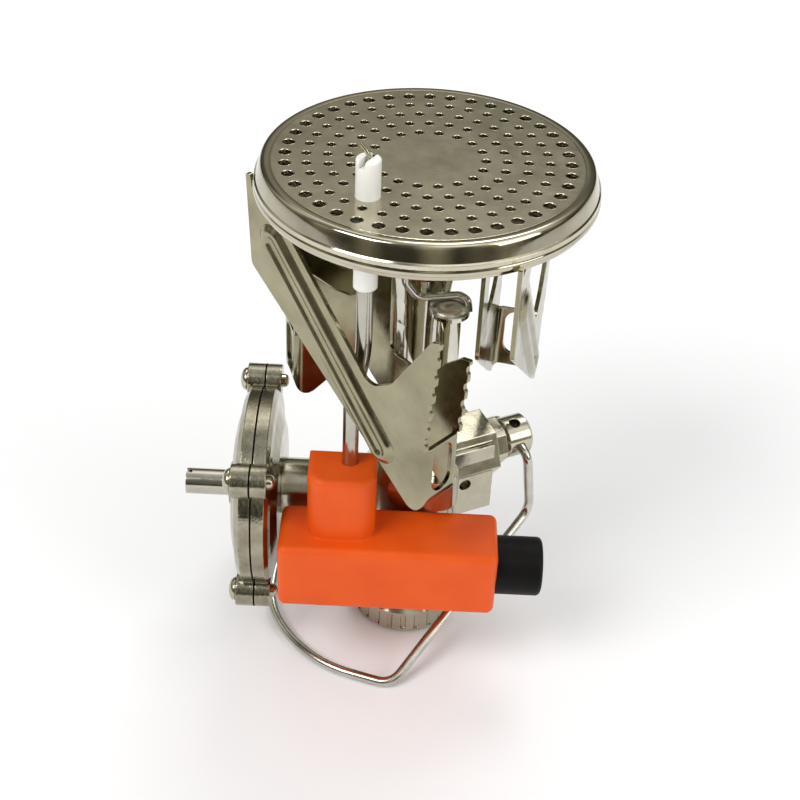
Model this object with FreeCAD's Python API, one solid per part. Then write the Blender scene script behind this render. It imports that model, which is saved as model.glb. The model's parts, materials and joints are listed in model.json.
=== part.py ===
"""Small canister-top camping stove with a piezo igniter and three folding pot supports.

Frame: millimetres, +Z up.  The origin is the middle of the canister collar's lower face, and
the Z axis is the burner's axis.  +X runs along the igniter housing, from the regulator to the
push button, and -Y is the side that the igniter housing is on.  The stove is in its packed
state: pot supports folded down beside the mixing tube, wire handle folded round the base.
"""
import FreeCAD
import Part
import math
import os

V = FreeCAD.Vector
UP = V(0, 0, 1)
ALONG = V(1, 0, 0)
BACK = V(0, 1, 0)

# ---- canister connection ------------------------------------------------------------------
COLLAR_R = 9.5
COLLAR_H = 9.0
THREAD_R = 5.56
THREAD_DEPTH = 6.5
SEAL_INNER_R = 2.0
SEAL_OUTER_R = 4.4
SEAL_T = 1.0
PIN_R = 0.9
PIN_LENGTH = 2.4
GRIP_COUNT = 24
GRIP_R = 0.6

# ---- valve body ---------------------------------------------------------------------------
BODY_R = 8.2
BODY_TOP = 36.0
NECK_R = 4.6
NECK_H = 4.4
SHOULDER_H = 1.6
GAS_BORE_R = 1.0
GAUGE = 0.3

# ---- valve stem, gland and wire handle ------------------------------------------------------
STEM_Z = 33.0
STEM_TURN = 27.0
HEX_FLATS = 11.0
HEX_END = 14.5
BLOCK_START = 5.6
BLOCK_END = 13.4
BLOCK_W = 11.0
BLOCK_LOW = 11.5
BLOCK_HIGH = 4.0
BLOCK_EDGE = 1.6
DRILL_R = 1.1
DRILL_AT = 8.0
DRILL_DROP = 3.4
GLAND_R = 4.3
GLAND_L = 2.6
STEM_R = 1.9
STEM_FIT = 0.05
STEM_HEAD_R = 3.7
STEM_HEAD_L = 5.2
STEM_GAP = 0.35
HANDLE_R = 0.85
HANDLE_FIT = 0.05
HANDLE_BEND = 3.5

# ---- mixing tube and burner head ------------------------------------------------------------
HEAD_BOTTOM = 86.6
HEAD_TOP = 92.1
RIM_R = 26.0
RIM_H = 3.0
RIM_WALL = 0.7
PAN_FLOOR = 1.0
CAP_R = 24.8
CAP_WALL = 0.6
CAP_EDGE = 1.4
BAFFLE_R = 10.0
BAFFLE_T = 0.7
BAFFLE_GAP = 1.4
BAFFLE_FEET = 3
HOLE_RINGS = 5
RING_STEP = 3.2
FIRST_RING_R = 8.6
FIRST_RING_COUNT = 18
RING_COUNT_STEP = 6
LAST_RING_COUNT = 40
HOLE_R = 0.72
OUTER_HOLE_R = 0.95
TUBE_R = 4.3
TUBE_WALL = 0.5
TUBE_FLARE_R = 8.3
TUBE_WAIST_Z = 60.0
AIR_SLOTS = 3
AIR_SLOT_H = 3.6
AIR_SLOT_W = 2.8
AIR_SLOT_TURN = -65.0
SLOT_TOP = 45.4
BAND_T = 0.5
BAND_H = 2.0
BAND_LOW = 39.6
JET_R = 1.9
JET_L = 6.0
JET_BORE_R = 0.25
POST_X = 4.5
POST_Y = -7.0
POST_R = 1.9
POST_TOP = 69.5
POST_CAP_R = 3.1
POST_CAP_H = 1.5
POST_NUT_FLATS = 5.6
POST_NUT_Z = 50.0
POST_NUT_H = 3.6
POST_BOSS_R = 3.6
POST_BOSS_BOTTOM = 31.5
POST_DEPTH = 4.0

# ---- pot supports -------------------------------------------------------------------------
SUPPORTS = {"a": -42.0, "b": 78.0, "c": -162.0}
SHEET = 0.7
SUPPORT_NEAR = -18.1
SUPPORT_WIDTH = 8.4
HINGE_R = 4.6
HINGE_Z = 85.0
PIN_WIRE_R = 0.6
PIN_WIRE_FIT = 0.05
EYE_R = 1.25
TIP_RAD = 18.4
TIP_Z = 42.6
BRIDGE_TOP = 56.4
TOOTH_LEAN = 0.08
TOOTH_COUNT = 6
TOOTH_PITCH = 3.3
TOOTH_CUT_R = 1.25
BRIDGE_SLOT = 9.0
BRIDGE_SLOT_W = 4.4
BEND_R = 1.6
BEAD_W = 3.4
BEAD_H = 0.5
BEAD_EDGE = 0.75
TIP_R = 2.0
TIP_RISE = 4.0
EAR_RISE = 1.9
LUG_W = 3.0
LUG_GAP = 0.3
WIRE_HEAD = 0.5

# ---- igniter --------------------------------------------------------------------------------
CASE_LEFT = -21.7
CASE_RIGHT = 15.0
CASE_FRONT = -20.4
CASE_BACK = -8.6
CASE_BOTTOM = 17.0
CASE_TOP = 30.2
CASE_EDGE = 1.3
BUTTON_R = 5.0
BUTTON_FIT = 0.06
BUTTON_OUT = 7.8
BUTTON_TRAVEL = 3.0
BUTTON_IN = 5.0
RETURN_INNER = 1.6
RETURN_OUTER = 3.2
RETURN_COUNT = 6
RETURN_WALL = 0.5
PIEZO_R = 4.0
PIEZO_L = 20.0
BOSS_LEFT = -17.0
BOSS_RIGHT = -5.7
BOSS_FRONT = -17.4
BOSS_TOP = 42.5
LEAD_R = 1.3
LEAD_X = -10.2
LEAD_Y = -11.6
LEAD_DEPTH = 5.0
LEAD_BEND = 30.0
CERAMIC_X = -8.5
CERAMIC_Y = -12.2
CERAMIC_R = 1.85
CERAMIC_LOW = 77.0
CERAMIC_TOP = 98.2
ELECTRODE_R = 0.45

# ---- regulator -----------------------------------------------------------------------------
REG_Z = 26.6
REG_R = 17.5
REG_SEAM = -26.4
REG_HALF = 3.9
REG_LUG_R = 2.9
REG_LUG_AT = 18.6
REG_LUGS = 4
REG_LUG_TURN = 42.0
REG_BOSS_R = 5.0
REG_POCKET_R = 14.0
DIAPHRAGM = 0.5
REG_SCREW_R = 1.2
STUD_R = 2.3
STUD_END = -39.5
SPRING_INNER = 2.7
SPRING_OUTER = 4.6
SPRING_STEP = 0.65
SPRING_WALL = 0.4
SPRING_COUNT = 4
SPRING_DEPTH = 2.75


def export(shape, name):
    """Write one node to parts/NAME.step."""
    os.makedirs("parts", exist_ok=True)
    shape.exportStep("parts/" + name + ".step")


def rod(radius, start, end):
    """Round bar between two points."""
    run = end - start
    return Part.makeCylinder(radius, run.Length, start, run)


def revolve(points, turn=360.0):
    """Turn a closed (radius, height) outline about the Z axis."""
    wire = Part.makePolygon([V(r, 0, z) for r, z in points + points[:1]])
    return Part.Face(wire).revolve(V(0, 0, 0), UP, turn)


def block(x0, x1, y0, y1, z0, z1):
    """Box between two opposite corners."""
    return Part.makeBox(x1 - x0, y1 - y0, z1 - z0, V(x0, y0, z0))


def edges_along(shape, direction):
    """Straight edges that run along one direction."""
    found = []
    for edge in shape.Edges:
        if edge.Curve.TypeId == "Part::GeomLine":
            if edge.Curve.Direction.cross(direction).Length < 1e-6:
                found.append(edge)
    return found


def rims_above(shape, height):
    """Round edges whose middle lies above a height."""
    rims = [e for e in shape.Edges if e.Curve.TypeId == "Part::GeomCircle"]
    return [e for e in rims if e.CenterOfMass.z > height]


def group(solids):
    """Several separate solids in one node."""
    return Part.makeCompound(solids)


def wire_path(points, radius, bend_r):
    """Round wire along straight runs, joined by tangent arcs at the inner points."""
    edges = []
    last = points[0]
    for before, corner, after in zip(points, points[1:], points[2:]):
        run_in = corner - before
        run_out = after - corner
        half_turn = run_in.getAngle(run_out) / 2
        room = 0.45 * min(run_in.Length, run_out.Length)
        reach = min(room, bend_r * math.tan(half_turn))
        bend = reach / math.tan(half_turn)
        ahead = V(run_out).normalize()
        start = corner - V(run_in).normalize() * reach
        end = corner + ahead * reach
        inward = (ahead - V(run_in).normalize()).normalize()
        centre = corner + inward * math.hypot(reach, bend)
        edges.append(Part.makeLine(last, start))
        edges.append(Part.Arc(start, centre - inward * bend, end).toShape())
        last = end
    edges.append(Part.makeLine(last, points[-1]))
    path = Part.Wire(edges)
    ring = Part.Wire(Part.makeCircle(radius, points[0], points[1] - points[0]))
    return path.makePipeShell([ring], True, True)


# ---- base and valve -------------------------------------------------------------------------
def canister_collar():
    """Threaded collar that screws on the canister, with a ribbed grip band."""
    outline = [(0, 0), (COLLAR_R - 0.8, 0), (COLLAR_R, 0.8), (COLLAR_R, 5.2), (COLLAR_R - 0.7, 5.9),
               (COLLAR_R - 0.7, 6.6), (BODY_R, 7.4), (BODY_R, COLLAR_H), (0, COLLAR_H)]
    collar = revolve(outline)
    for i in range(GRIP_COUNT):
        groove = Part.makeCylinder(GRIP_R, 3.4, V(COLLAR_R + GRIP_R * 0.5, 0, 1.3))
        groove.rotate(V(0, 0, 0), UP, 360.0 * i / GRIP_COUNT)
        collar = collar.cut(groove)
    collar = collar.cut(Part.makeCylinder(THREAD_R, THREAD_DEPTH))
    collar = collar.cut(Part.makeCylinder(SEAL_OUTER_R, THREAD_DEPTH + SEAL_T))
    pin_hole = Part.makeCylinder(PIN_R, COLLAR_H)
    return collar.cut(pin_hole)


def canister_seal():
    """Flat rubber ring in a recess above the thread, that seals on the canister's valve."""
    top = THREAD_DEPTH + SEAL_T
    return revolve([(SEAL_INNER_R, top - SEAL_T), (SEAL_OUTER_R, top - SEAL_T), (SEAL_OUTER_R, top),
                    (SEAL_INNER_R, top)])


def valve_pin():
    """Pin that opens the canister's valve."""
    return Part.makeCylinder(PIN_R, PIN_LENGTH, V(0, 0, COLLAR_H - PIN_LENGTH))


def stem_frame(shape):
    """Move a shape made along +X from the origin to the valve stem's axis."""
    shape = shape.copy()
    shape.rotate(V(0, 0, 0), UP, STEM_TURN)
    shape.translate(V(0, 0, STEM_Z))
    return shape


def hexagon(flats, start, end):
    """Hexagonal bar along +X, with one flat turned up and forward."""
    corner_r = flats / math.sqrt(3)
    corners = []
    for i in range(7):
        a = math.radians(60 * i + 5)
        corners.append(V(start, corner_r * math.cos(a), corner_r * math.sin(a)))
    return Part.Face(Part.makePolygon(corners)).extrude(V(end - start, 0, 0))


def valve_body():
    """Cast body: barrel, tapered neck, hexagonal valve seat and the branch to the regulator."""
    barrel = revolve([(0, COLLAR_H), (BODY_R, COLLAR_H), (BODY_R, BODY_TOP - 3.0),
                      (BODY_R - SHOULDER_H, BODY_TOP), (NECK_R, BODY_TOP + SHOULDER_H),
                      (NECK_R, BODY_TOP + NECK_H), (0, BODY_TOP + NECK_H)])
    hex_head = stem_frame(hexagon(HEX_FLATS, NECK_R + TUBE_WALL + GAUGE, HEX_END))
    branch = rod(REG_BOSS_R, V(REG_SEAM + REG_HALF, 0, REG_Z), V(-2.0, 0, REG_Z))
    cheek = block(BLOCK_START, BLOCK_END, -BLOCK_W / 2, BLOCK_W / 2, -BLOCK_LOW, BLOCK_HIGH)
    low_corners = [e for e in edges_along(cheek, ALONG) if e.CenterOfMass.z < 0]
    cheek = cheek.makeChamfer(BLOCK_EDGE, low_corners)
    post_boss = Part.makeCylinder(POST_BOSS_R, BODY_TOP + SHOULDER_H - POST_BOSS_BOTTOM,
                                  V(POST_X, POST_Y, POST_BOSS_BOTTOM))
    body = barrel.fuse(hex_head).fuse(branch).fuse(post_boss).fuse(stem_frame(cheek))
    stem_bore = stem_frame(rod(STEM_R + STEM_FIT, V(4, 0, 0), V(HEX_END + 1, 0, 0)))
    jet_hole = Part.makeCylinder(JET_R, JET_L, V(0, 0, BODY_TOP + NECK_H - JET_L / 2))
    riser = Part.makeCylinder(GAS_BORE_R, BODY_TOP - COLLAR_H + 2, V(0, 0, COLLAR_H + 2))
    gas_way = rod(GAS_BORE_R, V(REG_SEAM + REG_HALF - 1, 0, REG_Z), V(0, 0, REG_Z))
    drill = rod(DRILL_R, V(DRILL_AT, -BLOCK_W, -DRILL_DROP), V(DRILL_AT, -STEM_R - 1.0, -DRILL_DROP))
    post_hole = Part.makeCylinder(POST_R, 10.0, V(POST_X, POST_Y, BODY_TOP + SHOULDER_H - POST_DEPTH))
    for cutter in (stem_bore, jet_hole, riser, gas_way, stem_frame(drill), post_hole):
        body = body.cut(cutter)
    return body


def gland_nut():
    """Packing nut round the valve stem."""
    nut = rod(GLAND_R, V(HEX_END, 0, 0), V(HEX_END + GLAND_L, 0, 0))
    nut = nut.common(hexagon(2 * GLAND_R - 0.7, HEX_END, HEX_END + GLAND_L))
    nut = nut.cut(rod(STEM_R + STEM_FIT, V(HEX_END - 1, 0, 0), V(HEX_END + GLAND_L + 1, 0, 0)))
    return stem_frame(nut)


def stem_head_start():
    """Distance of the stem head's inner face from the Z axis."""
    return HEX_END + GLAND_L + STEM_GAP


def valve_stem():
    """Needle-ended stem with a drilled head that the wire handle turns."""
    start = stem_head_start()
    end = start + STEM_HEAD_L
    cross = start + STEM_HEAD_L / 2
    shaft = rod(STEM_R, V(6.0, 0, 0), V(start + 0.5, 0, 0))
    needle = Part.makeCone(0.3, STEM_R, 1.6, V(4.4, 0, 0), ALONG)
    head = rod(STEM_HEAD_R, V(start, 0, 0), V(end, 0, 0))
    rims = [e for e in head.Edges if e.Curve.TypeId == "Part::GeomCircle"]
    head = head.makeChamfer(0.5, rims)
    stem = shaft.fuse(needle).fuse(head)
    handle_bore = rod(HANDLE_R + HANDLE_FIT, V(cross, -8, 0), V(cross, 8, 0))
    open_bore = rod(1.0, V(cross - 0.2, 0, 0), V(cross - 0.2, -2.0, 8))
    return stem_frame(stem.cut(handle_bore).cut(open_bore))


def handle_points():
    """Bends of the wire handle, from its front pin round the base to its rear pin."""
    cross = stem_head_start() + STEM_HEAD_L / 2
    turn = math.radians(STEM_TURN)
    centre = V(cross * math.cos(turn), cross * math.sin(turn), STEM_Z)
    side = V(math.sin(turn), -math.cos(turn), 0)
    out = STEM_HEAD_R + 2.2
    front = [centre + side * 1.2, centre + side * out]
    low = HANDLE_R + 0.15
    loop = [V(22.2, 5.4, 19.0), V(-1.7, -22.6, low), V(-13.6, -19.0, low), V(-20.8, -12.4, low),
            V(-25.0, -4.0, low), V(-24.6, 7.0, low + 2.0), V(-17.0, 16.0, low + 5.0),
            V(-4.0, 19.6, low + 9.0), V(11.5, 17.0, 20.0)]
    return front + loop + [centre - side * out, centre - side * 1.2]


def wire_handle():
    """Wire loop that turns the valve; folded, it lies round the base."""
    return wire_path(handle_points(), HANDLE_R, HANDLE_BEND)


# ---- burner --------------------------------------------------------------------------------
def jet():
    """Brass jet in the neck of the valve body."""
    low = BODY_TOP + NECK_H - JET_L / 2
    body = Part.makeCylinder(JET_R, JET_L, V(0, 0, low))
    return body.cut(Part.makeCylinder(JET_BORE_R, JET_L, V(0, 0, low)))


def flare(radius, top_r, low, high, steps=6):
    """Points of a trumpet curve from a straight tube up to its mouth."""
    points = []
    for i in range(steps + 1):
        t = i / steps
        points.append((radius + (top_r - radius) * t ** 2, low + (high - low) * t))
    return points


def mixing_tube():
    """Trumpet-shaped tube with air slots above the jet, open into the burner pan."""
    foot = BODY_TOP + SHOULDER_H
    inner_r = TUBE_R - TUBE_WALL
    outside = flare(TUBE_R, TUBE_FLARE_R, TUBE_WAIST_Z, HEAD_BOTTOM)
    inside = flare(inner_r, TUBE_FLARE_R - TUBE_WALL, TUBE_WAIST_Z, HEAD_BOTTOM)
    outline = [(NECK_R, foot), (NECK_R + TUBE_WALL, foot), (NECK_R + TUBE_WALL, SLOT_TOP + 1.0),
               (TUBE_R, SLOT_TOP + 2.2)]
    outline += outside + inside[::-1]
    outline += [(inner_r, SLOT_TOP + 2.0), (NECK_R, SLOT_TOP + 0.8)]
    tube = revolve(outline)
    for i in range(AIR_SLOTS):
        slot = block(0, 2 * NECK_R, -AIR_SLOT_W / 2, AIR_SLOT_W / 2, SLOT_TOP - AIR_SLOT_H, SLOT_TOP)
        slot.rotate(V(0, 0, 0), UP, AIR_SLOT_TURN + 360.0 * i / AIR_SLOTS)
        tube = tube.cut(slot)
    return tube


def mixing_band():
    """Rolled band that holds the mixing tube's foot on the valve body's neck."""
    top = BAND_LOW + BAND_H
    inner = NECK_R + TUBE_WALL
    outer = inner + BAND_T
    return revolve([(inner, BAND_LOW), (outer, BAND_LOW), (outer + 0.4, BAND_LOW + BAND_H / 2), (outer, top),
                    (inner, top)])


def burner_pan():
    """Lower pan of the burner head: floor, raised rim, and holes for tube and electrode."""
    top = HEAD_BOTTOM + RIM_H
    floor = HEAD_BOTTOM + PAN_FLOOR
    mouth = TUBE_FLARE_R - TUBE_WALL
    outline = [(mouth, HEAD_BOTTOM), (RIM_R - 1.2, HEAD_BOTTOM), (RIM_R - 0.35, HEAD_BOTTOM + 0.35),
               (RIM_R, HEAD_BOTTOM + 1.2), (RIM_R, top - 0.25), (RIM_R - 0.25, top),
               (RIM_R - RIM_WALL + 0.15, top), (RIM_R - RIM_WALL, top - 0.2), (RIM_R - RIM_WALL, floor),
               (mouth, floor)]
    pan = revolve(outline)
    return pan.cut(Part.makeCylinder(CERAMIC_R, 5, V(CERAMIC_X, CERAMIC_Y, HEAD_BOTTOM - 2)))


def burner_baffle():
    """Disc inside the head that spreads the gas, on a ring of feet."""
    low = HEAD_BOTTOM + PAN_FLOOR
    disc = Part.makeCylinder(BAFFLE_R, BAFFLE_T, V(0, 0, low + BAFFLE_GAP))
    for i in range(BAFFLE_FEET):
        turn = math.radians(360.0 * i / BAFFLE_FEET)
        spot = V(BAFFLE_R * math.cos(turn), BAFFLE_R * math.sin(turn), low)
        disc = disc.fuse(Part.makeCylinder(BAFFLE_T, BAFFLE_GAP, spot - V(spot.x, spot.y, 0) * 0.1))
    return disc


def ring_counts():
    """Radius, hole count and hole size of each ring of flame ports."""
    rings = []
    for i in range(HOLE_RINGS):
        last = i == HOLE_RINGS - 1
        count = LAST_RING_COUNT if last else FIRST_RING_COUNT + RING_COUNT_STEP * i
        rings.append((FIRST_RING_R + RING_STEP * i, count, OUTER_HOLE_R if last else HOLE_R))
    return rings


def burner_cap():
    """Drawn cap with rings of flame ports round a plain middle."""
    low = HEAD_BOTTOM + PAN_FLOOR
    cap = Part.makeCylinder(CAP_R, HEAD_TOP - low, V(0, 0, low))
    cap = cap.makeFillet(CAP_EDGE, rims_above(cap, low + 1))
    hollow = Part.makeCylinder(CAP_R - CAP_WALL, HEAD_TOP - CAP_WALL - low, V(0, 0, low))
    cap = cap.cut(hollow.makeFillet(CAP_EDGE - CAP_WALL, rims_above(hollow, low + 1)))
    ports = []
    for radius, count, hole_r in ring_counts():
        for i in range(count):
            a = 2 * math.pi * i / count
            spot = V(radius * math.cos(a), radius * math.sin(a), HEAD_TOP - 2 * CAP_WALL)
            away = math.hypot(spot.x - CERAMIC_X, spot.y - CERAMIC_Y)
            if away > CERAMIC_R + hole_r + 0.3:
                ports.append(Part.makeCylinder(hole_r, 3 * CAP_WALL, spot))
    cap = cap.cut(group(ports))
    return cap.cut(Part.makeCylinder(CERAMIC_R, 10, V(CERAMIC_X, CERAMIC_Y, low - 1)))


def burner_post():
    """Side post with a domed head, pressed into a boss of the valve body."""
    low = BODY_TOP + SHOULDER_H - POST_DEPTH
    post = Part.makeCylinder(POST_R, POST_TOP - low, V(POST_X, POST_Y, low))
    cap = Part.makeCylinder(POST_CAP_R, POST_CAP_H, V(POST_X, POST_Y, POST_TOP))
    return post.fuse(cap.makeFillet(POST_CAP_H * 0.5, rims_above(cap, POST_TOP + 1)))


def post_nut():
    """Locking nut on the side post."""
    nut = hexagon(POST_NUT_FLATS, 0, POST_NUT_H)
    nut.rotate(V(0, 0, 0), BACK, -90)
    nut.translate(V(POST_X, POST_Y, POST_NUT_Z))
    middle = POST_NUT_Z + POST_NUT_H / 2
    ball = Part.makeSphere(POST_NUT_FLATS * 0.61, V(POST_X, POST_Y, middle))
    hole = Part.makeCylinder(POST_R, POST_NUT_H, V(POST_X, POST_Y, POST_NUT_Z))
    return nut.common(ball).cut(hole)


# ---- pot supports -----------------------------------------------------------------------------
def rounded_face(corners):
    """Flat face in the XZ plane from (x, z, corner radius) points."""
    edges = []
    count = len(corners)
    ends = []
    for i in range(count):
        x, z, radius = corners[i]
        corner = V(x, 0, z)
        before = V(corners[i - 1][0], 0, corners[i - 1][1])
        after = V(corners[(i + 1) % count][0], 0, corners[(i + 1) % count][1])
        run_in = (corner - before).normalize()
        run_out = (after - corner).normalize()
        if radius == 0:
            ends.append((corner, corner, corner))
            continue
        half_turn = run_in.getAngle(run_out) / 2
        reach = radius * math.tan(half_turn)
        inward = (run_out - run_in).normalize()
        middle = corner + inward * (math.hypot(reach, radius) - radius)
        ends.append((corner - run_in * reach, middle, corner + run_out * reach))
    for i in range(count):
        start, middle, end = ends[i]
        if start != end:
            edges.append(Part.Arc(start, middle, end).toShape())
        edges.append(Part.makeLine(end, ends[(i + 1) % count][0]))
    return Part.Face(Part.Wire(edges))


def sheet_wall(corners, teeth):
    """Side wall of a pot support in its own plane: radius outward along X, height along Z."""
    wall = rounded_face(corners).extrude(BACK * SHEET)
    wall = wall.fuse(Part.makeCylinder(EYE_R, SHEET, V(HINGE_R, 0, HINGE_Z), BACK))
    wall = wall.cut(Part.makeCylinder(PIN_WIRE_R + PIN_WIRE_FIT, SHEET, V(HINGE_R, 0, HINGE_Z), BACK))
    first = V(TIP_RAD + 0.9, 0, BRIDGE_TOP + 2.1)
    for i in range(teeth):
        spot = first + V(TOOTH_LEAN, 0, 1) * (TOOTH_PITCH * i)
        wall = wall.cut(Part.makeCylinder(TOOTH_CUT_R, SHEET, spot, BACK))
    return wall


def near_corners():
    """Outer wall: long beaded arm, toothed edge, link strip to the hinge eye, and an ear past the rim."""
    strip = HINGE_Z + EYE_R
    return [(TIP_RAD - 1.0, TIP_Z, TIP_R), (TIP_RAD, TIP_Z + TIP_RISE, 0), (TIP_RAD, BRIDGE_TOP, 0),
            (TIP_RAD + 1.6, 77.3, 0.3), (TIP_RAD - 0.2, 76.6, 0.5), (10.9, 65.3, 3.0), (6.4, 62.5, 2.5),
            (-12.3, 82.2, 1.5), (HINGE_R, HINGE_Z - EYE_R, 0), (HINGE_R, strip, 0),
            (-19.3, strip, 0), (-19.7, strip + EAR_RISE, 0.2), (-20.6, strip + EAR_RISE, 0.3),
            (-19.8, 72.6, 1.5)]


def far_wall():
    """Inner wall: shorter, with an upright arm that clears the other two supports."""
    corners = [(TIP_RAD - 1.0, TIP_Z, TIP_R), (TIP_RAD, TIP_Z + TIP_RISE, 0), (TIP_RAD, BRIDGE_TOP, 0),
               (TIP_RAD + 1.0, 70.2, 0.3), (TIP_RAD - 0.8, 69.8, 0.5), (11.6, 64.5, 2.0), (9.0, 63.0, 1.0),
               (3.2, 64.0, 2.0), (3.2, 82.0, 1.0), (HINGE_R + EYE_R * 0.9, HINGE_Z - EYE_R * 0.4, 0),
               (HINGE_R - EYE_R * 0.4, HINGE_Z + EYE_R * 0.9, 0), (-1.5, 83.0, 1.0), (-1.5, 58.4, 3.0)]
    return sheet_wall(corners, TOOTH_COUNT - 2)


def stadium(start, end, width, depth):
    """Long rounded bar lying in the wall's plane, standing out by depth along -Y."""
    run = end - start
    normal = run.cross(BACK).normalize() * (width / 2)
    flat = Part.Face(Part.makePolygon([start + normal, end + normal, end - normal, start - normal,
                                       start + normal]))
    bar = flat.extrude(BACK * -depth)
    for spot in (start, end):
        bar = bar.fuse(Part.makeCylinder(width / 2, depth, spot, BACK * -1))
    return bar.removeSplitter()


def bent_channel():
    """U-shaped sheet standing on end, open towards the axis, with two rounded bends."""
    start = TIP_RAD - BEND_R - 1.0
    face = TIP_RAD - SHEET
    far = SUPPORT_WIDTH - SHEET
    bend_in = BEND_R - SHEET
    outside = rounded_face([(start, 0, 0), (TIP_RAD, 0, BEND_R), (TIP_RAD, SUPPORT_WIDTH, BEND_R),
                            (start, SUPPORT_WIDTH, 0)])
    inside = rounded_face([(start - 1, SHEET, 0), (face, SHEET, bend_in), (face, far, bend_in),
                           (start - 1, far, 0)])
    channel = outside.cut(inside).extrude(BACK * (BRIDGE_TOP - TIP_Z + 2.0))
    channel.rotate(V(0, 0, 0), ALONG, -90)
    channel.translate(UP * BRIDGE_TOP)
    return channel


def pot_support(turn):
    """Stirrup of bent sheet: two toothed walls with long beaded arms, and a slotted bridge."""
    near = sheet_wall(near_corners(), TOOTH_COUNT)
    far = far_wall()
    far.translate(BACK * (SUPPORT_WIDTH - SHEET))
    tip_space = block(TIP_RAD - BEND_R - 1.0, TIP_RAD + 1, -1, SUPPORT_WIDTH + 1, TIP_Z - 2, BRIDGE_TOP)
    stirrup = rounded_face(near_corners()).extrude(BACK * SUPPORT_WIDTH).common(bent_channel())
    support = near.fuse(far).cut(tip_space).fuse(stirrup)
    slot_mid = (TIP_Z + TIP_RISE + BRIDGE_TOP) / 2
    half = (BRIDGE_SLOT - BRIDGE_SLOT_W) / 2
    middle = SUPPORT_WIDTH / 2
    slot = block(10, 20, middle - BRIDGE_SLOT_W / 2, middle + BRIDGE_SLOT_W / 2,
                 slot_mid - half, slot_mid + half)
    for z in (slot_mid - half, slot_mid + half):
        slot = slot.fuse(Part.makeCylinder(BRIDGE_SLOT_W / 2, 10, V(10, middle, z), ALONG))
    support = support.cut(slot)
    bead_start = V(-14.8, 0, 78.6)
    bead_end = V(9.3, 0, 52.4)
    bead = stadium(bead_start, bead_end, BEAD_W, BEAD_H)
    groove = stadium(bead_start, bead_end, BEAD_W - 2 * BEAD_EDGE, 2 * BEAD_H)
    support = support.fuse(bead).cut(groove).removeSplitter()
    support.translate(V(0, SUPPORT_NEAR, 0))
    support.rotate(V(0, 0, 0), UP, turn)
    return support


def lug_starts():
    """Near faces of the two lugs, one on each side of the far wall."""
    inner = SUPPORT_NEAR + SUPPORT_WIDTH - SHEET - LUG_GAP - SHEET
    outer = SUPPORT_NEAR + SUPPORT_WIDTH + LUG_GAP
    return inner, outer


def hinge_wire(turn):
    """Hinge wire of one pot support, riveted over at each end."""
    start = SUPPORT_NEAR - LUG_GAP - WIRE_HEAD
    end = lug_starts()[1] + SHEET + WIRE_HEAD
    wire = rod(PIN_WIRE_R, V(HINGE_R, start, HINGE_Z), V(HINGE_R, end, HINGE_Z))
    for y in (start, end - WIRE_HEAD):
        head = rod(PIN_WIRE_R + 0.35, V(HINGE_R, y, HINGE_Z), V(HINGE_R, y + WIRE_HEAD, HINGE_Z))
        wire = wire.fuse(head)
    wire.rotate(V(0, 0, 0), UP, turn)
    return wire


def hinge_lugs(turn):
    """Pair of lugs under the pan that hold one hinge wire."""
    lugs = []
    for y in lug_starts():
        plate = block(HINGE_R - LUG_W / 2, HINGE_R + LUG_W / 2, y, y + SHEET, HINGE_Z, HEAD_BOTTOM)
        plate = plate.fuse(Part.makeCylinder(LUG_W / 2, SHEET, V(HINGE_R, y, HINGE_Z), BACK))
        plate = plate.cut(Part.makeCylinder(PIN_WIRE_R, SHEET, V(HINGE_R, y, HINGE_Z), BACK))
        plate.rotate(V(0, 0, 0), UP, turn)
        lugs.append(plate)
    return lugs


# ---- igniter ---------------------------------------------------------------------------------
def button_axis():
    """Height and depth of the push button's axis."""
    return (CASE_FRONT + CASE_BACK) / 2, (CASE_BOTTOM + CASE_TOP) / 2


def igniter_case():
    """Moulded case with the tube boss, the bore for the piezo unit and a saddle on the valve body."""
    case = block(CASE_LEFT, CASE_RIGHT, CASE_FRONT, CASE_BACK, CASE_BOTTOM, CASE_TOP)
    case = case.makeFillet(CASE_EDGE, case.Edges)
    boss = block(BOSS_LEFT, BOSS_RIGHT, BOSS_FRONT, CASE_BACK, CASE_TOP - 4, BOSS_TOP)
    front = [e for e in edges_along(boss, UP) if e.CenterOfMass.y < BOSS_FRONT + 0.1]
    boss = boss.makeFillet(3.0, front)
    top = [e for e in boss.Edges if e.CenterOfMass.z > BOSS_TOP - 0.01]
    boss = boss.makeFillet(1.0, top)
    saddle = block(-6.8, 6.8, CASE_BACK - 2, -4.4, CASE_BOTTOM + 1.0, REG_Z - REG_BOSS_R)
    y, z = button_axis()
    case = case.fuse(boss).fuse(saddle.cut(Part.makeCylinder(BODY_R, 60)))
    depth = BUTTON_IN + BUTTON_TRAVEL + PIEZO_L
    bore_end = CASE_RIGHT - BUTTON_IN - BUTTON_TRAVEL
    bore = rod(BUTTON_R + BUTTON_FIT, V(bore_end, y, z), V(CASE_RIGHT + 1, y, z))
    seat = rod(PIEZO_R, V(CASE_RIGHT - depth, y, z), V(CASE_RIGHT, y, z))
    lead_hole = Part.makeCylinder(LEAD_R, LEAD_DEPTH + 1, V(LEAD_X, LEAD_Y, BOSS_TOP - LEAD_DEPTH))
    for cutter in (bore, seat, lead_hole):
        case = case.cut(cutter)
    return case


def igniter_button():
    """Black push button that slides in the case."""
    y, z = button_axis()
    start = CASE_RIGHT - BUTTON_IN
    end = CASE_RIGHT + BUTTON_OUT
    button = rod(BUTTON_R, V(start, y, z), V(end, y, z))
    rim = [e for e in button.Edges if e.Curve.TypeId == "Part::GeomCircle" and e.CenterOfMass.x > end - 1]
    return button.makeFillet(0.9, rim)


def piezo_unit():
    """Piezo striker in the case."""
    y, z = button_axis()
    end = CASE_RIGHT - BUTTON_IN - BUTTON_TRAVEL
    return rod(PIEZO_R, V(end - PIEZO_L, y, z), V(end, y, z))


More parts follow.
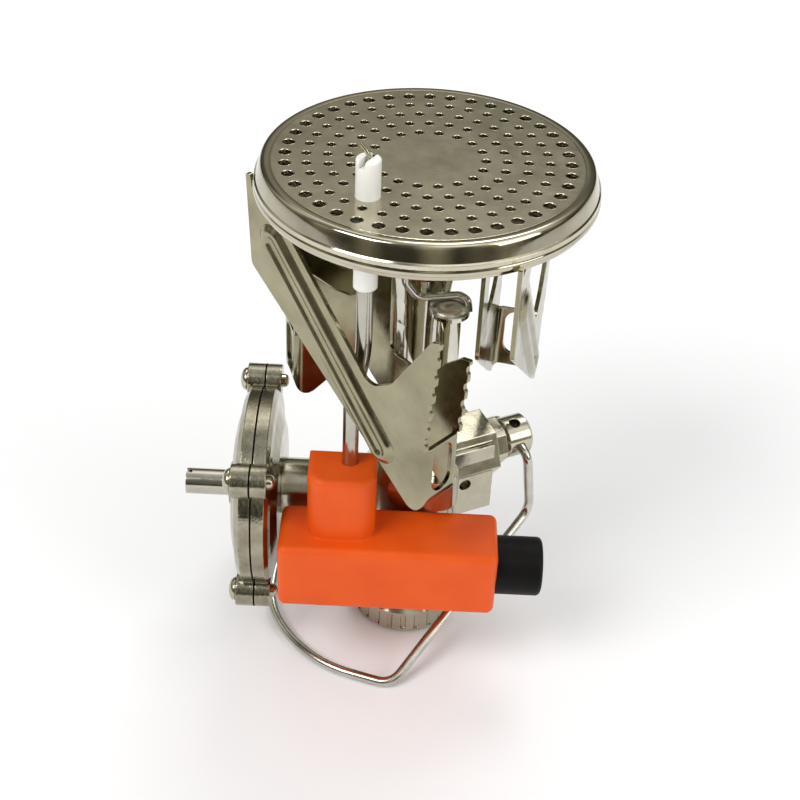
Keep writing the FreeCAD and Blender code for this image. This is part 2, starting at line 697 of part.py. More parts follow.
def disc_springs(inner, outer, step, count, wall):
    """Conical disc springs joined rim to rim in a stack along the Z axis, from the origin up."""
    rims = [(inner if i % 2 == 0 else outer, step * i) for i in range(count + 1)]
    shifted = [(r + wall, z) for r, z in rims]
    return revolve(rims + shifted[::-1])


def button_spring():
    """Return spring between the piezo unit and the button."""
    y, z = button_axis()
    step = BUTTON_TRAVEL / RETURN_COUNT
    spring = disc_springs(RETURN_INNER, RETURN_OUTER, step, RETURN_COUNT, RETURN_WALL)
    spring.rotate(V(0, 0, 0), BACK, 90)
    spring.translate(V(CASE_RIGHT - BUTTON_IN - BUTTON_TRAVEL, y, z))
    return spring


def ignition_lead():
    """Sleeved lead from the case up to the electrode."""
    points = [V(LEAD_X, LEAD_Y, BOSS_TOP - LEAD_DEPTH), V(LEAD_X, LEAD_Y, 56.0),
              V(CERAMIC_X, CERAMIC_Y, 64.0), V(CERAMIC_X, CERAMIC_Y, CERAMIC_LOW)]
    return wire_path(points, LEAD_R, LEAD_BEND)


def electrode_ceramic():
    """White insulator through the burner head, notched at the top."""
    bar = Part.makeCylinder(CERAMIC_R, CERAMIC_TOP - CERAMIC_LOW, V(CERAMIC_X, CERAMIC_Y, CERAMIC_LOW))
    bar = bar.makeFillet(0.5, rims_above(bar, CERAMIC_TOP - 1))
    notch = block(-3, 3, -0.5, 0.5, 0, 2)
    notch.rotate(V(0, 0, 0), UP, 60)
    notch.translate(V(CERAMIC_X, CERAMIC_Y, CERAMIC_TOP - 1.2))
    bore = Part.makeCylinder(ELECTRODE_R, CERAMIC_TOP, V(CERAMIC_X, CERAMIC_Y, CERAMIC_LOW + 2))
    return bar.cut(notch).cut(bore)


def electrode_wire():
    """Spark wire inside the insulator."""
    low = CERAMIC_LOW + 2
    return Part.makeCylinder(ELECTRODE_R, CERAMIC_TOP - 0.7 - low, V(CERAMIC_X, CERAMIC_Y, low))


# ---- regulator ---------------------------------------------------------------------------------
def reg_frame(shape):
    """Move a shape made along +Z to the regulator's axis, with +Z turned to +X."""
    shape = shape.copy()
    shape.rotate(V(0, 0, 0), BACK, 90)
    shape.translate(V(REG_SEAM, 0, REG_Z))
    return shape


def lug_spots():
    """Places of the regulator's screws, in the regulator's own plane."""
    spots = []
    for i in range(REG_LUGS):
        a = math.radians(REG_LUG_TURN + 360.0 * i / REG_LUGS)
        spots.append((-REG_LUG_AT * math.cos(a), REG_LUG_AT * math.sin(a)))
    return spots


def reg_plate(outline, depth):
    """Half of the regulator: a turned plate with screw lugs."""
    plate = revolve(outline)
    for x, y in lug_spots():
        start = 0 if depth > 0 else depth
        plate = plate.fuse(Part.makeCylinder(REG_LUG_R, abs(depth), V(x, y, start)))
    return plate


def regulator_body():
    """Right half of the regulator, which joins the valve body's branch."""
    top = REG_HALF
    outline = [(0, 0.4), (REG_POCKET_R, 0.4), (REG_POCKET_R, 0), (REG_R, 0), (REG_R, 2.2),
               (REG_R - 1.2, 2.8), (REG_R - 3.5, 3.0), (11.0, top), (0, top)]
    plate = reg_plate(outline, 2.8)
    for x, y in lug_spots():
        plate = plate.cut(Part.makeCylinder(REG_SCREW_R, 10, V(x, y, -1)))
    return reg_frame(plate.cut(Part.makeCylinder(GAS_BORE_R, 12, V(0, 0, -1))))


def regulator_cover():
    """Left half of the regulator, over the spring, with the threaded neck for the stud."""
    low = -REG_HALF
    outline = [(0, -1.0), (REG_POCKET_R, -1.0), (REG_POCKET_R, 0), (REG_R, 0), (REG_R, -2.0),
               (REG_R - 1.4, -2.9), (REG_R - 3.0, -3.1), (12.0, low), (4.2, low), (3.8, low - 1.4),
               (0, low - 1.4)]
    plate = reg_plate(outline, -3.2)
    for x, y in lug_spots():
        plate = plate.cut(Part.makeCylinder(REG_SCREW_R, 10, V(x, y, -9)))
    plate = plate.cut(Part.makeCylinder(STUD_R, 20, V(0, 0, -12)))
    spring_room = Part.makeCylinder(SPRING_OUTER + 0.8, 2.6, V(0, 0, -2.8))
    return reg_frame(plate.cut(spring_room))


def diaphragm():
    """Rubber diaphragm held between the regulator's halves."""
    return reg_frame(Part.makeCylinder(REG_POCKET_R, DIAPHRAGM, V(0, 0, -0.1)))


def regulator_stud():
    """Pressure-setting stud in the cover, with a screwdriver slot."""
    length = REG_SEAM - 1.6 - STUD_END
    stud = Part.makeCylinder(STUD_R, length, V(0, 0, STUD_END - REG_SEAM))
    slot = block(-3, 3, -0.4, 0.4, STUD_END - REG_SEAM - 1, STUD_END - REG_SEAM + 1.0)
    return reg_frame(stud.cut(slot))


def regulator_spring():
    """Disc springs round the stud, pressing the diaphragm."""
    spring = disc_springs(SPRING_INNER, SPRING_OUTER, SPRING_STEP, SPRING_COUNT, SPRING_WALL)
    spring.translate(UP * -SPRING_DEPTH)
    return reg_frame(spring)


def regulator_screws():
    """Four cheese-head screws through the regulator's lugs, headed on the left."""
    screws = []
    for x, y in lug_spots():
        shank = Part.makeCylinder(REG_SCREW_R, 7.4, V(x, y, -3.4))
        head = Part.makeCylinder(2.1, 1.5, V(x, y, -4.7))
        slot = block(-3, 3, -0.3, 0.3, -5, -4.1)
        slot.translate(V(x, y, 0))
        screws.append(reg_frame(shank.fuse(head).cut(slot)))
    return group(screws)


def main():
    """Build every node."""
    export(canister_collar(), "canister_collar")
    export(canister_seal(), "canister_seal")
    export(valve_pin(), "valve_pin")
    export(valve_body(), "valve_body")
    export(gland_nut(), "gland_nut")
    export(valve_stem(), "valve_stem")
    export(wire_handle(), "wire_handle")
    export(jet(), "jet")
    export(mixing_tube(), "mixing_tube")
    export(mixing_band(), "mixing_band")
    export(burner_pan(), "burner_pan")
    export(burner_cap(), "burner_cap")
    export(burner_baffle(), "burner_baffle")
    export(burner_post(), "burner_post")
    export(post_nut(), "post_nut")
    lugs = []
    for name, turn in SUPPORTS.items():
        export(pot_support(turn), "pot_support_" + name)
        export(hinge_wire(turn), "hinge_wire_" + name)
        lugs.extend(hinge_lugs(turn))
    export(group(lugs), "hinge_lugs")
    export(igniter_case(), "igniter_case")
    export(igniter_button(), "igniter_button")
    export(piezo_unit(), "piezo_unit")
    export(button_spring(), "button_spring")
    export(ignition_lead(), "ignition_lead")
    export(electrode_ceramic(), "electrode_ceramic")
    export(electrode_wire(), "electrode_wire")
    export(regulator_body(), "regulator_body")
    export(regulator_cover(), "regulator_cover")
    export(diaphragm(), "diaphragm")
    export(regulator_stud(), "regulator_stud")
    export(regulator_spring(), "regulator_spring")
    export(regulator_screws(), "regulator_screws")


main()
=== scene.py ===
"""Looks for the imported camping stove: materials, fine detail, light, floor and camera."""
import bpy
import bmesh
import json
import math
from mathutils import Matrix, Vector


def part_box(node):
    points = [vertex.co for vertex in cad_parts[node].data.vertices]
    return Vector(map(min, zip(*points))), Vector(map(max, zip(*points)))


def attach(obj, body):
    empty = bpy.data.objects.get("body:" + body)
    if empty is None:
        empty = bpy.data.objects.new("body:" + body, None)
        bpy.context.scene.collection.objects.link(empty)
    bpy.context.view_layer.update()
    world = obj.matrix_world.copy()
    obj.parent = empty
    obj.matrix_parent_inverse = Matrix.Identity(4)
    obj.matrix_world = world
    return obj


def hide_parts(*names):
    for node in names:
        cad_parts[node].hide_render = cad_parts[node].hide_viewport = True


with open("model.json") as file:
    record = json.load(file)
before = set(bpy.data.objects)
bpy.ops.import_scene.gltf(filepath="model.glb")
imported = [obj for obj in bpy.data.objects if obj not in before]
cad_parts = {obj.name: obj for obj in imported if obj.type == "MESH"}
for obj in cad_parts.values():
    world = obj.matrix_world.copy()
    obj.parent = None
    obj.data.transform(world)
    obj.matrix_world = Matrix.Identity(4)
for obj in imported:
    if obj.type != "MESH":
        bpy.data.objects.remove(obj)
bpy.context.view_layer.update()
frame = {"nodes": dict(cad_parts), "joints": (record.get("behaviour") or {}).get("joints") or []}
NODES = frame["nodes"]
MM = 0.001

# ---- view -----------------------------------------------------------------------------------
VIEW_FROM = Vector((-2.9, -184.8, 187.7)) * MM
VIEW_UP = Vector((-0.0467, 0.7184, 0.6940))
LOOK_AT = Vector((-2.5, -1.0, 47.5)) * MM
LENS = 62.0
SENSOR_WIDTH = 36.0
NEAREST = 0.01

# ---- added pieces, in millimetres -----------------------------------------------------------
# Channel of the pot supports: (outward, height) of its ends, (distance, depth) across it.
BEAD_START = (-14.8, 78.6)
BEAD_END = (9.3, 52.4)
BEAD_STAND = 0.5
BEAD_END_STEPS = 24
BEAD_PROFILE = [(0.05, 0.16), (0.40, 0.20), (0.75, 0.38), (1.05, 0.62), (1.35, 0.76), (1.65, 0.77),
                (1.95, 0.66), (2.25, 0.44), (2.55, 0.20), (2.80, 0.05), (2.95, -0.04)]
# Wire handle: its pin's place along the valve, its cheeks, then its way round the base.
HANDLE_CROSS = 20.05
HANDLE_PIN = 1.2
HANDLE_OUT = 5.9
HANDLE_RADIUS = 0.85
HANDLE_ROUTE = [(22.2, 5.4, 19.0), (-1.7, -22.6, 1.0), (-13.6, -19.0, 1.0), (-20.8, -12.4, 1.0),
                (-25.0, -4.0, 1.0), (-24.6, 7.0, 3.0), (-17.0, 16.0, 6.0), (-4.0, 19.6, 10.0),
                (11.5, 17.0, 20.0)]
HANDLE_BENDS = [3.0, 3.5, 4.0, 60.0, 60.0, 60.0, 60.0, 60.0, 60.0, 8.0, 3.0]
# Wires that do not move.
RETAINER_ROUTE = [(-2.74, -9.91, 85.0), (-1.85, -8.93, 85.0), (-2.6, -8.3, 75.5), (-0.6, -7.5, 72.35),
                  (5.9, -6.2, 72.35), (7.2, -7.0, 72.0), (7.4, -7.6, 70.3)]
RETAINER_BENDS = [1.2, 2.0, 2.5, 1.4, 1.4]
RETAINER_RADIUS = 0.6
SPARK_STEPS = [(0, 0, -1.0), (0, 0, 0.3), (-0.45, 0.2, 1.0), (-1.25, 0.5, 1.75)]
SPARK_BENDS = [1.5, 2.0]
SPARK_RADIUS = 0.33
# Every wire: its roundness, the steps of a bend, and a bend's longest reach along a run.
WIRE_SIDES = 6
BEND_STEPS = 12
BEND_REACH = 0.499
# Head of the side post.
DOME_RISE = 1.45
DOME_STEPS = 16
DOME_OVERHANG = 0.1
DOME_SINK = 0.75
DOME_TOP_ANGLE = 89.8
# Flame ports: (radius, count) of each ring, and the (outward, upward) section of a lip.
PORT_RINGS = [(8.6, 18), (11.8, 24), (15.0, 30), (18.2, 36), (21.4, 40)]
PORT_RADIUS = 0.72
OUTER_PORT_RADIUS = 0.95
LIP_PROFILE = [(0.09, -0.05), (0.07, 0.004), (0.02, 0.012), (-0.03, -0.02), (-0.06, -0.12), (-0.07, -0.45),
               (0.02, -0.47), (0.02, -0.10)]
LIP_CLEARANCE = 0.3
# Screws of the regulator: (radius, height) of a head.
LUG_COUNT = 4
LUG_AT = 18.6
LUG_TURN = 42.0
SCREW_HEAD = [(0.01, 0.10), (0.7, 0.13), (1.3, 0.28), (1.8, 0.60), (2.05, 1.0), (2.1, 1.5), (1.2, 1.5)]
# Sides of the round pieces.
SKIRT_SIDES = 220
DOME_SIDES = 96
LIP_SIDES = 20
SCREW_SIDES = 40
# Screw thread of the canister socket: its steps are per turn, its profile is (outward, upward).
THREAD_RADIUS = 5.56
THREAD_PITCH = 0.907
THREAD_START = 0.75
THREAD_TURNS = 5.6
THREAD_STEPS = 72
THREAD_FADE = 40
THREAD_PROFILE = [(0.05, -0.42), (-0.36, -0.06), (-0.40, 0.0), (-0.36, 0.06), (0.05, 0.42)]

# ---- places taken from the CAD, in metres ---------------------------------------------------
CAP_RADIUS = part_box("burner_cap")[1][0]
SEAM_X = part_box("regulator_body")[0][0]

# ---- fineness of the surfaces, in noise cycles per metre ------------------------------------
HAIRLINES = 1500.0
SMUDGES = 420.0
# Breaks up the paler edges, which are partly rubbed wear and partly painted highlight.
RUBBING_AND_HIGHLIGHT = 800.0
PEBBLES = 1900.0
SHEET_WAVES = 75.0
MOULD_SKIN = 2600.0
SPUN_RINGS = 2600.0

# ---- dark gap between the halves of the regulator -------------------------------------------
SEAM_WIDTH = 0.16
SEAM_COLOUR = (0.012, 0.011, 0.010)
SEAM_ROUGHNESS = 0.8

# ---- surround -------------------------------------------------------------------------------
SKY = 0.53
SKY_STOPS = [(0.0, (0.16, 0.148, 0.105)), (0.20, (0.24, 0.225, 0.17)), (0.42, (0.40, 0.38, 0.31)),
             (0.62, (0.50, 0.48, 0.41)), (0.80, (1.0, 0.99, 0.95)), (1.0, (0.95, 0.95, 0.92))]
SCREEN_SCALE = 2.1
SCREEN_STRETCH = (1, 1, 0.25)
SCREEN_DARK = 0.30
SCREEN_LIGHT = 1.45
# Lamps: name, place, size and power.
LAMP_AIM = (0, 0, 0.05)
LAMPS = [("key", (-0.35, -0.30, 0.55), 0.30, 2.2), ("fill", (0.45, -0.25, 0.30), 0.30, 0.8),
         ("rim", (0.10, 0.34, 0.62), 0.25, 1.0)]
# Floor, in metres, with a glow that grows from the start distance to the end distance.
FLOOR_SIZE = 6.0
FLOOR_GREY = 0.95
GLOW_MOST = 0.16
GLOW_START = 0.05
GLOW_END = 0.25


# ---- node helpers ---------------------------------------------------------------------------
class Graph:
    """Short way to build the nodes of a material or of the world."""

    def __init__(self, owner, shader="Principled BSDF", space="Object"):
        owner.use_nodes = True
        self.owner = owner
        self.tree = owner.node_tree
        self.shader = self.tree.nodes[shader]
        self.coords = self.add("ShaderNodeTexCoord").outputs[space]

    def add(self, kind, **values):
        """A node, with its properties and inputs set by name."""
        node = self.tree.nodes.new(kind)
        for key, value in values.items():
            label = key.replace("_", " ")
            if hasattr(node, key):
                setattr(node, key, value)
            else:
                node.inputs[label.title()].default_value = value
        return node

    def link(self, source, target):
        """One socket joined to another."""
        self.tree.links.new(source, target)

    def parts(self):
        """The coordinates, split into X, Y and Z."""
        node = self.add("ShaderNodeSeparateXYZ")
        self.link(self.coords, node.inputs["Vector"])
        return node.outputs

    def distance(self, vector):
        """Length of a vector."""
        node = self.add("ShaderNodeVectorMath", operation="LENGTH")
        self.link(vector, node.inputs[0])
        return node.outputs["Value"]

    def product(self, value, other):
        """Two numbers multiplied."""
        node = self.add("ShaderNodeMath", operation="MULTIPLY")
        self.link(value, node.inputs[0])
        self.link(other, node.inputs[1])
        return node.outputs["Value"]

    def set(self, **values):
        """Constants on the shader's own sockets, by name."""
        for key, value in values.items():
            label = key.replace("_", " ").title().replace("Ior", "IOR")
            self.shader.inputs[label].default_value = value

    def noise(self, scale, detail=3.0, roughness=0.5, stretch=(1, 1, 1)):
        """Noise over the coordinates, which are stretched along their axes."""
        mapping = self.add("ShaderNodeMapping")
        mapping.inputs["Scale"].default_value = stretch
        self.link(self.coords, mapping.inputs["Vector"])
        texture = self.add("ShaderNodeTexNoise", scale=scale, detail=detail, roughness=roughness)
        self.link(mapping.outputs["Vector"], texture.inputs["Vector"])
        return texture.outputs["Fac"]

    def ramp(self, value, stops):
        """Colour ramp over (position, colour) stops."""
        node = self.add("ShaderNodeValToRGB")
        elements = node.color_ramp.elements
        while len(elements) < len(stops):
            elements.new(0.5)
        for element, (position, colour) in zip(elements, stops):
            element.position = position
            element.color = (*colour, 1)
        self.link(value, node.inputs["Fac"])
        return node.outputs["Color"]

    def span(self, value, low, high, start=0.0, end=1.0):
        """Map start..end to low..high."""
        node = self.add("ShaderNodeMapRange")
        for label, number in (("From Min", start), ("From Max", end), ("To Min", low), ("To Max", high)):
            node.inputs[label].default_value = number
        self.link(value, node.inputs["Value"])
        return node.outputs["Result"]

    def blend(self, mask, colour, other):
        """Colour, turning to another plain one where the mask is 1."""
        node = self.add("ShaderNodeMix", data_type="RGBA")
        self.link(mask, node.inputs["Factor"])
        self.link(colour, node.inputs["A"])
        node.inputs["B"].default_value = (*other, 1)
        return node.outputs["Result"]

    def lift(self, mask, value, other):
        """Number, turning to another where the mask is 1."""
        node = self.add("ShaderNodeMix", data_type="FLOAT")
        self.link(mask, node.inputs["Factor"])
        self.link(value, node.inputs["A"])
        node.inputs["B"].default_value = other
        return node.outputs["Result"]

    def band(self, axis, place, half_width):
        """1 within half_width of a place along an axis, else 0."""
        node = self.add("ShaderNodeMath", operation="COMPARE")
        self.link(self.parts()[axis], node.inputs[0])
        node.inputs[1].default_value = place
        node.inputs[2].default_value = half_width
        return node.outputs["Value"]

    def edge_mask(self, radius_mm):
        """Near 1 on outer edges, where the rounded normal leaves the true one, broken up by noise. It marks
        the paler edges, which are partly rubbed wear and partly painted highlight.
        """
        bevel = self.add("ShaderNodeBevel")
        bevel.samples = 4
        bevel.inputs["Radius"].default_value = radius_mm * MM
        face = self.add("ShaderNodeNewGeometry").outputs["Normal"]
        dot = self.add("ShaderNodeVectorMath", operation="DOT_PRODUCT")
        self.link(bevel.outputs["Normal"], dot.inputs[0])
        self.link(face, dot.inputs[1])
        sharp = self.span(dot.outputs["Value"], 1.0, 0.0, 0.80, 0.995)
        return self.product(sharp, self.span(self.noise(RUBBING_AND_HIGHLIGHT, 3.0, 0.7), 0.0, 1.0, 0.40, 0.62))

    def relief(self, layers, edge_mm):
        """Bumps of several (height field, millimetres) layers, over edges rounded by edge_mm."""
        normal = self.add("ShaderNodeBevel")
        normal.samples = 6
        normal.inputs["Radius"].default_value = edge_mm * MM
        source = normal.outputs["Normal"]
        for value, height_mm in layers:
            node = self.add("ShaderNodeBump")
            node.inputs["Distance"].default_value = height_mm * MM
            self.link(value, node.inputs["Height"])
            self.link(source, node.inputs["Normal"])
            source = node.outputs["Normal"]
        self.link(source, self.shader.inputs["Normal"])


# ---- materials ------------------------------------------------------------------------------
def material_graph(name):
    """Graph of a new material."""
    return Graph(bpy.data.materials.new(name))


def paler(colour, factor, more=0.0):
    """Colour made lighter, for edges that are partly rubbed wear and partly painted highlight."""
    return tuple(min(1.0, part * factor + more) for part in colour)


def metal(name, dark, light, rough, lines=(1, 1, 1), line_mm=0.003, edge_mm=0.12, patch=160.0, seam=None,
          cast_mm=0.0, wave_mm=0.0):
    """Metal with soft tone patches, hairline scratches, paler edges (partly rubbed wear, partly painted
    highlight) and, where cast, a pebbled skin.
    Pressed sheet is also slightly wavy."""
    g = material_graph(name)
    tone = g.noise(patch, 4.0, 0.6)
    # Paler edges: partly rubbed wear, partly painted highlight.
    edge_wear_and_highlight = g.edge_mask(edge_mm * 2.5)
    colour = g.blend(edge_wear_and_highlight, g.ramp(tone, [(0.3, dark), (0.7, light)]), paler(light, 1.18))
    hairs = g.noise(HAIRLINES, 2.0, 0.6, lines)
    gloss = g.product(g.noise(SMUDGES, 5.0, 0.65), g.span(hairs, 0.7, 1.3))
    finish = g.span(gloss, rough[0], rough[1], 0.25, 0.75)
    if seam:
        gap = g.band(*seam)
        colour = g.blend(gap, colour, SEAM_COLOUR)
        finish = g.lift(gap, finish, SEAM_ROUGHNESS)
    g.link(colour, g.shader.inputs["Base Color"])
    g.link(finish, g.shader.inputs["Roughness"])
    g.set(metallic=1.0)
    layers = [(hairs, line_mm)]
    if cast_mm:
        layers.append((g.noise(PEBBLES, 1.0, 0.4), cast_mm))
    if wave_mm:
        layers.append((g.noise(SHEET_WAVES, 1.0, 0.4), wave_mm))
    g.relief(layers, edge_mm)
    return g.owner


def plastic(name, dark, light, rough, skin_mm, edge_mm, subsurface=0.0, specular=0.5):
    """Moulded plastic with a fine skin, slight mottling and paler edges, partly rubbed wear and partly
    painted highlight.
    """
    g = material_graph(name)
    tone = g.noise(130.0, 4.0, 0.55)
    # Paler edges: partly rubbed wear, partly painted highlight.
    edge_wear_and_highlight = g.edge_mask(edge_mm * 1.6)
    colour = g.blend(edge_wear_and_highlight, g.ramp(tone, [(0.25, dark), (0.75, light)]), paler(light, 1.12, 0.01))
    g.link(colour, g.shader.inputs["Base Color"])
    g.link(g.span(g.noise(700.0, 3.0), rough[0], rough[1]), g.shader.inputs["Roughness"])
    g.set(subsurface_weight=subsurface, subsurface_scale=0.002, specular_ior_level=specular)
    g.relief([(g.noise(MOULD_SKIN, 3.0), skin_mm)], edge_mm)
    return g.owner


def spun_metal(name, dark, light):
    """Pressed burner sheet: satin with turned rings on top, polished round its shoulder and rim."""
    g = material_graph(name)
    parts = g.parts()
    flat = g.add("ShaderNodeCombineXYZ")
    g.link(parts["X"], flat.inputs["X"])
    g.link(parts["Y"], flat.inputs["Y"])
    radius = g.distance(flat.outputs["Vector"])
    rings = g.add("ShaderNodeTexNoise", noise_dimensions="1D", scale=SPUN_RINGS, detail=2.0)
    g.link(radius, rings.inputs["W"])
    polished = g.span(radius, 0.0, 1.0, CAP_RADIUS - 1.6 * MM, CAP_RADIUS - 0.9 * MM)
    tone = g.noise(140.0, 4.0, 0.6)
    # Paler edges: partly rubbed wear, partly painted highlight.
    edge_wear_and_highlight = g.edge_mask(0.3)
    colour = g.blend(edge_wear_and_highlight, g.ramp(tone, [(0.3, dark), (0.7, light)]), paler(light, 1.15))
    g.link(colour, g.shader.inputs["Base Color"])
    satin = g.span(g.noise(380.0, 5.0, 0.65), 0.17, 0.30)
    g.link(g.lift(polished, satin, 0.09), g.shader.inputs["Roughness"])
    g.set(metallic=1.0)
    g.relief([(rings.outputs["Fac"], 0.0035), (g.noise(900.0, 3.0), 0.002)], 0.15)
    return g.owner


def make_materials():
    """Every material, by the name that it is used under."""
    return {
        "burner": spun_metal("burner_steel", (0.45, 0.42, 0.325), (0.62, 0.579, 0.456)),
        "skirt": metal("rolled_steel", (0.44, 0.405, 0.31), (0.54, 0.505, 0.40), (0.04, 0.11), line_mm=0.001,
                       edge_mm=0.05),
        "support": metal("support_steel", (0.24, 0.222, 0.140), (0.39, 0.363, 0.245), (0.09, 0.26),
                         lines=(5, 5, 0.3), line_mm=0.006, edge_mm=0.15, patch=95.0, wave_mm=0.5),
        "bright": metal("bright_steel", (0.46, 0.435, 0.37), (0.60, 0.575, 0.50), (0.08, 0.20),
                        line_mm=0.002),
        "wire": metal("drawn_wire", (0.48, 0.465, 0.42), (0.62, 0.605, 0.55), (0.12, 0.26), line_mm=0.002,
                      patch=260.0),
        "tube": metal("polished_tube", (0.54, 0.515, 0.45), (0.68, 0.655, 0.58), (0.03, 0.10),
                      lines=(1, 1, 0.1), line_mm=0.001),
        "nickel": metal("nickel_plate", (0.40, 0.375, 0.29), (0.53, 0.50, 0.40), (0.10, 0.24), edge_mm=0.25,
                        line_mm=0.003, cast_mm=0.006),
        "turned": metal("turned_nickel", (0.40, 0.375, 0.29), (0.53, 0.50, 0.40), (0.10, 0.22), edge_mm=0.06,
                        line_mm=0.002),
        "satin": metal("satin_steel", (0.64, 0.615, 0.54), (0.78, 0.755, 0.68), (0.26, 0.36), edge_mm=0.06,
                       line_mm=0.0),
        "casting": metal("nickel_casting", (0.24, 0.222, 0.160), (0.44, 0.41, 0.315), (0.08, 0.26),
                         edge_mm=0.35, line_mm=0.002, cast_mm=0.028, patch=240.0,
                         seam=("X", SEAM_X, SEAM_WIDTH * MM)),
        "brass": metal("brass", (0.60, 0.45, 0.18), (0.78, 0.62, 0.30), (0.18, 0.30)),
        "orange": plastic("orange_plastic", (0.74, 0.080, 0.003), (0.82, 0.104, 0.005), (0.34, 0.48),
                          skin_mm=0.010, edge_mm=0.5, subsurface=0.04, specular=0.30),
        "black": plastic("black_plastic", (0.0020, 0.0018, 0.0016), (0.0045, 0.0040, 0.0038), (0.48, 0.62),
                         skin_mm=0.010, edge_mm=0.3, specular=0.14),
        "rubber": plastic("seal_rubber", (0.010, 0.010, 0.010), (0.030, 0.030, 0.030), (0.55, 0.75),
                          skin_mm=0.006, edge_mm=0.1),
        "ceramic": plastic("glazed_ceramic", (0.93, 0.915, 0.85), (0.97, 0.96, 0.91), (0.10, 0.22),
                           skin_mm=0.004, edge_mm=0.15, subsurface=0.15),
        "sleeve": metal("lead_sleeve", (0.38, 0.36, 0.31), (0.52, 0.50, 0.44), (0.10, 0.22),
                        lines=(1, 1, 0.2), line_mm=0.002),
    }


FINISH = {
    "burner_cap": "burner", "burner_pan": "burner", "burner_baffle": "burner", "burner_post": "tube",
    "post_nut": "nickel", "mixing_tube": "tube", "mixing_band": "bright",
    "canister_collar": "turned", "canister_seal": "rubber", "valve_pin": "brass", "valve_body": "nickel",
    "gland_nut": "nickel", "valve_stem": "nickel", "wire_handle": "wire", "jet": "brass",
    "hinge_lugs": "support", "igniter_case": "orange", "igniter_button": "black", "piezo_unit": "black",
    "button_spring": "bright", "ignition_lead": "sleeve", "electrode_ceramic": "ceramic",
    "electrode_wire": "bright", "regulator_body": "casting", "regulator_cover": "casting",
    "diaphragm": "rubber", "regulator_stud": "bright", "regulator_spring": "bright",
    "regulator_screws": "bright",
}


def finish_nodes(materials):
    """Give each CAD node its material."""
    for name, node in NODES.items():
        key = FINISH.get(name)
        if key is None:
            key = "support" if name.startswith("pot_support") else "bright"
        for slot in node.material_slots:
            slot.material = materials[key]


# ---- pieces ---------------------------------------------------------------------------------
def add_object(name, data):
    """New object in the scene."""
    thing = bpy.data.objects.new(name, data)
    bpy.context.scene.collection.objects.link(thing)
    return thing


def place(mesh, name, body, slot, material):
    """Finished mesh as a smooth piece of the stove, riding on one body."""
    for face in mesh.polygons:
        face.use_smooth = True
    piece = add_object(name, mesh)
    mesh.materials.append(material)
    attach(piece, body)
    return piece


def bridge(shape, loops):
    """Four-sided faces between each closed loop of corners and the next."""
    for loop, after in zip(loops, loops[1:]):
        for i in range(len(loop)):
            j = (i + 1) % len(loop)
            shape.faces.new((loop[i], loop[j], after[j], after[i]))


def close_ends(shape, loops):
    """One face over the first loop and one over the last."""
    shape.faces.new(loops[0])
    shape.faces.new(loops[-1][::-1])


def finished(shape, name):
    """Mesh of a built shape, with its faces turned outward."""
    bmesh.ops.recalc_face_normals(shape, faces=shape.faces)
    mesh = bpy.data.meshes.new(name)
    shape.to_mesh(mesh)
    shape.free()
    return mesh


def round_spot(radius, angle, height):
    """Place in millimetres from a radius, an angle about the upright axis and a height."""
    return Vector((radius * math.cos(angle), radius * math.sin(angle), height))


def turned(name, outline, places, sides):
    """Closed (radius, height) outline in millimetres, turned about an upright axis at each place."""
    shape = bmesh.new()
    for spot in places:
        rings = []
        for radius, height in outline:
            ring = []
            for i in range(sides):
                point = round_spot(radius, 2 * math.pi * i / sides, height) * MM
                ring.append(shape.verts.new(spot @ point))
            rings.append(ring)
        bridge(shape, rings + rings[:1])
    return finished(shape, name)


def smooth_outline(points, rounds=2):
    """Closed outline with its corners cut a few times, so that its turned surface is smooth."""
    for _ in range(rounds):
        cut = []
        for here, after in zip(points, points[1:] + points[:1]):
            for share in (0.2, 0.8):
                cut.append(tuple(a + (b - a) * share for a, b in zip(here, after)))
        points = cut
    return points


def make_skirt(materials):
    """Drawn skirt of the burner: from the cap's shoulder out over the pan, down to a rolled lip."""
    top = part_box("burner_cap")[1][2] / MM
    cap = CAP_RADIUS / MM
    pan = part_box("burner_pan")[1][0] / MM
    outline = [(cap - 1.50, top - 0.05), (cap - 0.90, top + 0.04), (cap - 0.25, top + 0.02),
               (cap + 0.15, top - 0.22), (cap + 0.38, top - 0.70), (pan - 0.14, top - 2.90),
               (pan + 0.02, top - 3.50), (pan + 0.14, top - 3.72), (pan + 0.19, top - 4.05),
               (pan + 0.14, top - 4.38), (pan - 0.15, top - 4.45), (pan - 0.20, top - 3.40),
               (pan - 0.60, top - 2.10), (cap + 0.10, top - 1.20), (cap - 0.50, top - 0.60),
               (cap - 1.50, top - 0.30)]
    mesh = turned("burner_skirt", smooth_outline(outline), [Matrix()], SKIRT_SIDES)
    place(mesh, "burner_skirt", "stove", "burner_steel", materials["skirt"])


def joint_named(name):
    """One joint of the frame."""
    return next(joint for joint in frame["joints"] if joint["name"] == name)


def support_frame(name):
    """Directions of a pot support: outward along its arm, across its walls, and its near wall's place."""
    across = -Vector(joint_named("support_" + name + "_fold")["axis"])
    outward = across.cross(Vector((0, 0, 1)))
    corners = [v.co for v in NODES["pot_support_" + name].data.vertices]
    return outward, across, min(corner.dot(across) for corner in corners)


